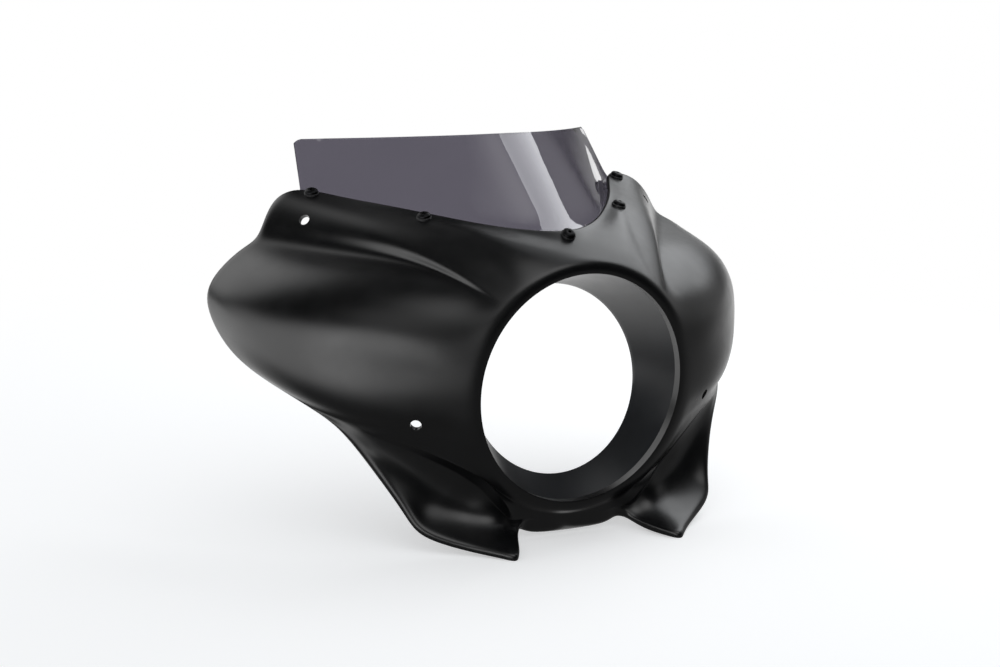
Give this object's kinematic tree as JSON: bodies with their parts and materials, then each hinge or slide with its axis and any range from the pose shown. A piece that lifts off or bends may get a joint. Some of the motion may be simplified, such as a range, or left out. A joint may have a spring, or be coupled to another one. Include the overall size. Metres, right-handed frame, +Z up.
{
  "type": "motorcycle windscreen",
  "caption": "Handlebar fairing with a round headlight opening, side wings and lower fins, and a smoked windscreen screwed behind its upper edge.",
  "frame": {"origin": "centre of the round headlight opening, at its front edge", "axes": "upright as on the motorcycle: +Z up, the front faces -Y, X across it from side to side"},
  "size_m": [0.5422, 0.3159, 0.3471],
  "materials": {
    "shell": "satin black moulded plastic",
    "duct": "satin dark grey moulded plastic",
    "smoked_screen": "clear acrylic tinted smoke grey",
    "screw": "black oxide",
    "washer": "black nylon",
    "well_nut": "black rubber",
    "insert": "turned brass"
  },
  "bodies": {
    "root": {"fairing_shell": "shell", "headlight_duct": "duct", "windscreen": "smoked_screen", "screw_center": "screw", "washer_center": "washer", "well_nut_center": "well_nut", "nut_insert_center": "insert", "screw_left_mid": "screw", "washer_left_mid": "washer", "well_nut_left_mid": "well_nut", "nut_insert_left_mid": "insert", "screw_right_mid": "screw", "washer_right_mid": "washer", "well_nut_right_mid": "well_nut", "nut_insert_right_mid": "insert", "screw_left_side": "screw", "washer_left_side": "washer", "well_nut_left_side": "well_nut", "nut_insert_left_side": "insert", "screw_right_side": "screw", "washer_right_side": "washer", "well_nut_right_side": "well_nut", "nut_insert_right_side": "insert"}
  },
  "joints": []
}
